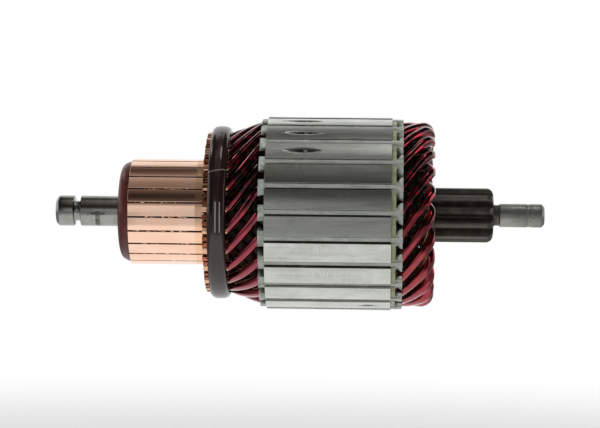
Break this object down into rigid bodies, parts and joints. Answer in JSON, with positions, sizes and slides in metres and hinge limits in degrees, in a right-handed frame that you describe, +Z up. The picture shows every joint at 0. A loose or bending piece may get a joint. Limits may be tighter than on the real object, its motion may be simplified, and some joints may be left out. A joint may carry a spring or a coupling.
{
  "type": "starter motor armature",
  "caption": "Wound armature of a geared starter motor: slotted steel core with a two-layer hairpin winding, moulded copper commutator and a shaft with an integral sun gear.",
  "frame": {"origin": "on the shaft axis, at the middle of the commutator-end journal, between the clip groove and the commutator moulding", "axes": "+X along the shaft from the commutator end to the gear end, +Z up, one slot of the stack facing -Y"},
  "size_m": [0.1368, 0.054, 0.054],
  "materials": {
    "shaft_steel": "ground journals, the toothed part hardened and blackened",
    "phenolic_resin": "dark red-brown phenolic moulding, dull",
    "bar_copper": "turned bare copper, a little tarnished at the risers",
    "core_steel": "turned electrical steel sheets, grey",
    "disc_fibre": "pale yellow-green fibre",
    "liner_paper": "pale grey-green insulating paper",
    "wire_enamel": "copper under glossy wine-red enamel",
    "band_resin": "glossy black-brown resin over glass roving"
  },
  "bodies": {
    "root": {"shaft": "shaft_steel", "commutator_moulding": "phenolic_resin", "commutator_bar_01": "bar_copper", "commutator_bar_02": "bar_copper", "commutator_bar_03": "bar_copper", "commutator_bar_04": "bar_copper", "commutator_bar_05": "bar_copper", "commutator_bar_06": "bar_copper", "commutator_bar_07": "bar_copper", "commutator_bar_08": "bar_copper", "commutator_bar_09": "bar_copper", "commutator_bar_10": "bar_copper", "commutator_bar_11": "bar_copper", "commutator_bar_12": "bar_copper", "commutator_bar_13": "bar_copper", "commutator_bar_14": "bar_copper", "commutator_bar_15": "bar_copper", "commutator_bar_16": "bar_copper", "commutator_bar_17": "bar_copper", "commutator_bar_18": "bar_copper", "commutator_bar_19": "bar_copper", "commutator_bar_20": "bar_copper", "commutator_bar_21": "bar_copper", "commutator_bar_22": "bar_copper", "commutator_bar_23": "bar_copper", "lamination_stack": "core_steel", "end_insulator": "disc_fibre", "slot_liners": "liner_paper", "hairpin_01": "wire_enamel", "hairpin_02": "wire_enamel", "hairpin_03": "wire_enamel", "hairpin_04": "wire_enamel", "hairpin_05": "wire_enamel", "hairpin_06": "wire_enamel", "hairpin_07": "wire_enamel", "hairpin_08": "wire_enamel", "hairpin_09": "wire_enamel", "hairpin_10": "wire_enamel", "hairpin_11": "wire_enamel", "hairpin_12": "wire_enamel", "hairpin_13": "wire_enamel", "hairpin_14": "wire_enamel", "hairpin_15": "wire_enamel", "hairpin_16": "wire_enamel", "hairpin_17": "wire_enamel", "hairpin_18": "wire_enamel", "hairpin_19": "wire_enamel", "hairpin_20": "wire_enamel", "hairpin_21": "wire_enamel", "hairpin_22": "wire_enamel", "hairpin_23": "wire_enamel", "winding_band": "band_resin"}
  },
  "joints": []
}
